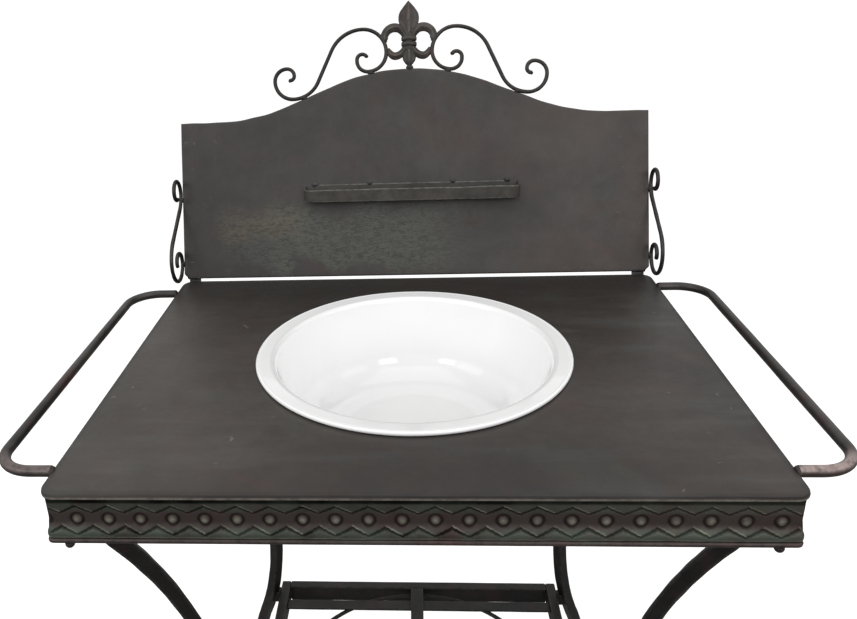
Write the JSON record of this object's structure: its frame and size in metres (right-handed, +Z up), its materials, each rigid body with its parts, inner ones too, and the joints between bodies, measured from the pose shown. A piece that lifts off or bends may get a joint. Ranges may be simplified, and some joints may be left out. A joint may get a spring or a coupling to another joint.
{
  "type": "wash basin stand",
  "caption": "Wrought iron washstand: table with a round enamelled bowl, leaning splash panel with scrolled crest and tray, side towel rails, curved legs and a low shelf.",
  "frame": {"origin": "on the floor, at the centre of the box that holds the whole stand", "axes": "+Z up, the stand's front faces -Y and the splash panel is at +Y, +X to the right seen from the front"},
  "size_m": [0.716, 0.6006, 1.1313],
  "materials": {
    "iron": "dark brown-black patina, satin, waxed",
    "embossed_iron": "dark patina with grey-green verdigris in the pressed pattern",
    "enamel": "white glossy vitreous enamel on steel"
  },
  "bodies": {
    "stand": {"top_sheet": "iron", "moulding_front": "iron", "moulding_rear": "iron", "moulding_left": "iron", "moulding_right": "iron", "corner_drops": "iron", "towel_rail_left": "iron", "towel_rail_right": "iron", "back_panel": "iron", "panel_strap_left": "iron", "panel_strap_right": "iron", "tray_front": "iron", "tray_rear": "iron", "tray_floor": "iron", "side_scroll_left": "iron", "side_scroll_right": "iron", "crest_scroll_left": "iron", "crest_scroll_right": "iron", "crest_finial": "iron", "leg_plate_front_left": "iron", "leg_plate_front_right": "iron", "leg_plate_rear_left": "iron", "leg_plate_rear_right": "iron", "leg_front_left": "iron", "leg_front_right": "iron", "leg_rear_left": "iron", "leg_rear_right": "iron", "foot_front_left": "iron", "foot_front_right": "iron", "foot_rear_left": "iron", "foot_rear_right": "iron", "shelf_bar_front": "iron", "shelf_bar_rear": "iron", "shelf_bar_left": "iron", "shelf_bar_right": "iron", "shelf_strap_front": "iron", "shelf_strap_rear": "iron", "shelf_strap_middle": "iron", "shelf_ring": "iron", "shelf_tabs": "iron", "apron_front": "embossed_iron", "apron_rear": "embossed_iron", "apron_left": "embossed_iron", "apron_right": "embossed_iron"},
    "basin": {"basin": "enamel"}
  },
  "joints": [
    {"name": "basin_lift", "type": "slide", "parent": "stand", "child": "basin", "axis": [0, 0, 1], "range_m": [0, 0.15]}
  ]
}
